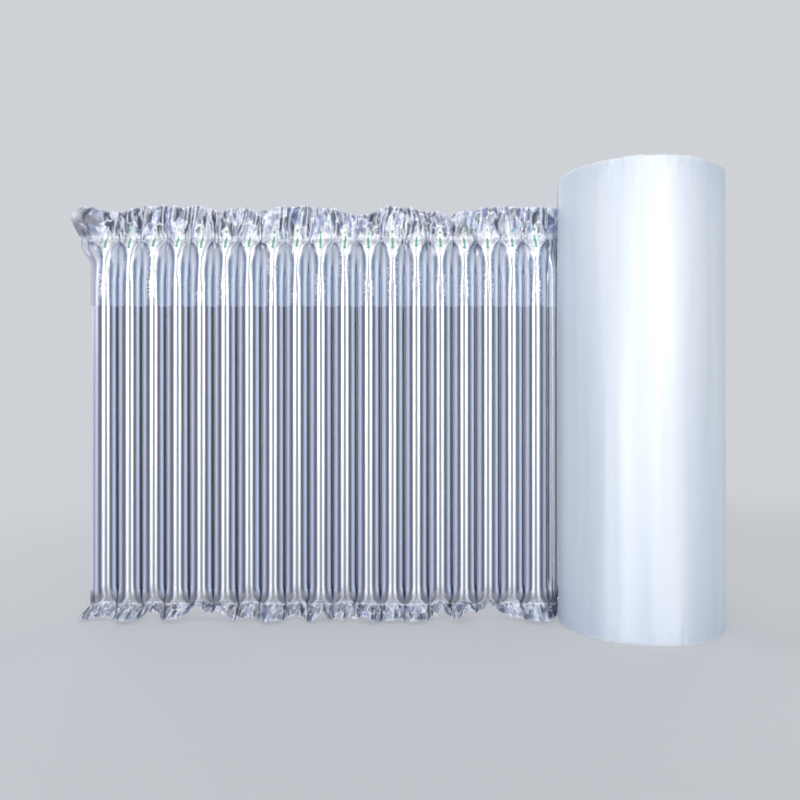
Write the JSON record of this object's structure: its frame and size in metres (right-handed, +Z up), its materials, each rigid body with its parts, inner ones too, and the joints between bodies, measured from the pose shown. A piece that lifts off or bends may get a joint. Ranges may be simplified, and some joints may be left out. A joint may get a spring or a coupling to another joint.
{
  "type": "air column roll",
  "caption": "Roll of heat-sealed air column film wound on a cardboard core, standing on end with its free end inflated into a row of upright columns.",
  "frame": {"origin": "middle of the roll's lower end, on the axis of the core", "axes": "+Z up along the core, -X along the inflated sheet away from the roll, +Y to the back, where the film leaves the roll"},
  "size_m": [0.5879, 0.1441, 0.4],
  "materials": {
    "core_board": "matte",
    "wound_film": "satin",
    "clear_film": "gloss",
    "valve_film": "gloss"
  },
  "bodies": {
    "root": {"paper_core": "core_board", "film_roll": "wound_film", "front_film": "clear_film", "back_film": "clear_film", "valve_film": "valve_film"}
  },
  "joints": []
}
